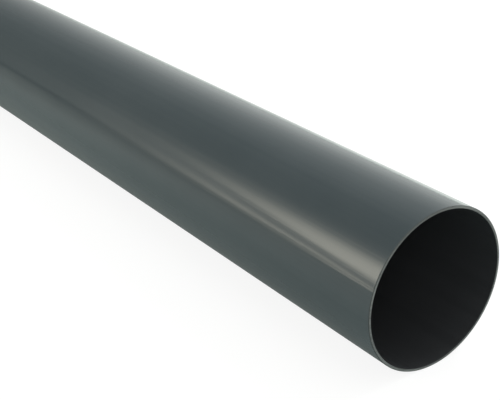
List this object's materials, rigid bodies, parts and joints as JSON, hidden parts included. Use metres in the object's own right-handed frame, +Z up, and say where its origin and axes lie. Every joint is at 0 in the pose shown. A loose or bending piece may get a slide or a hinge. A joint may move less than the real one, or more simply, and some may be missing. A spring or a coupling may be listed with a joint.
{
  "type": "drain pipe",
  "caption": "Straight round thin-walled plastic pipe with plain square-sawn ends, for leading rainwater down from a gutter to a drain.",
  "frame": {"origin": "on the floor under the pipe's middle: half way along its length, below its axis, at the height of its lowest line", "axes": "+X along the pipe towards one sawn end, +Z up from the floor that it lies on, and +Y level across the pipe; the pipe's axis is one outside radius, 52.5 mm, above the origin"},
  "size_m": [1, 0.1049, 0.105],
  "materials": {
    "pipe_plastic": "satin"
  },
  "bodies": {
    "root": {"pipe": "pipe_plastic"}
  },
  "joints": []
}
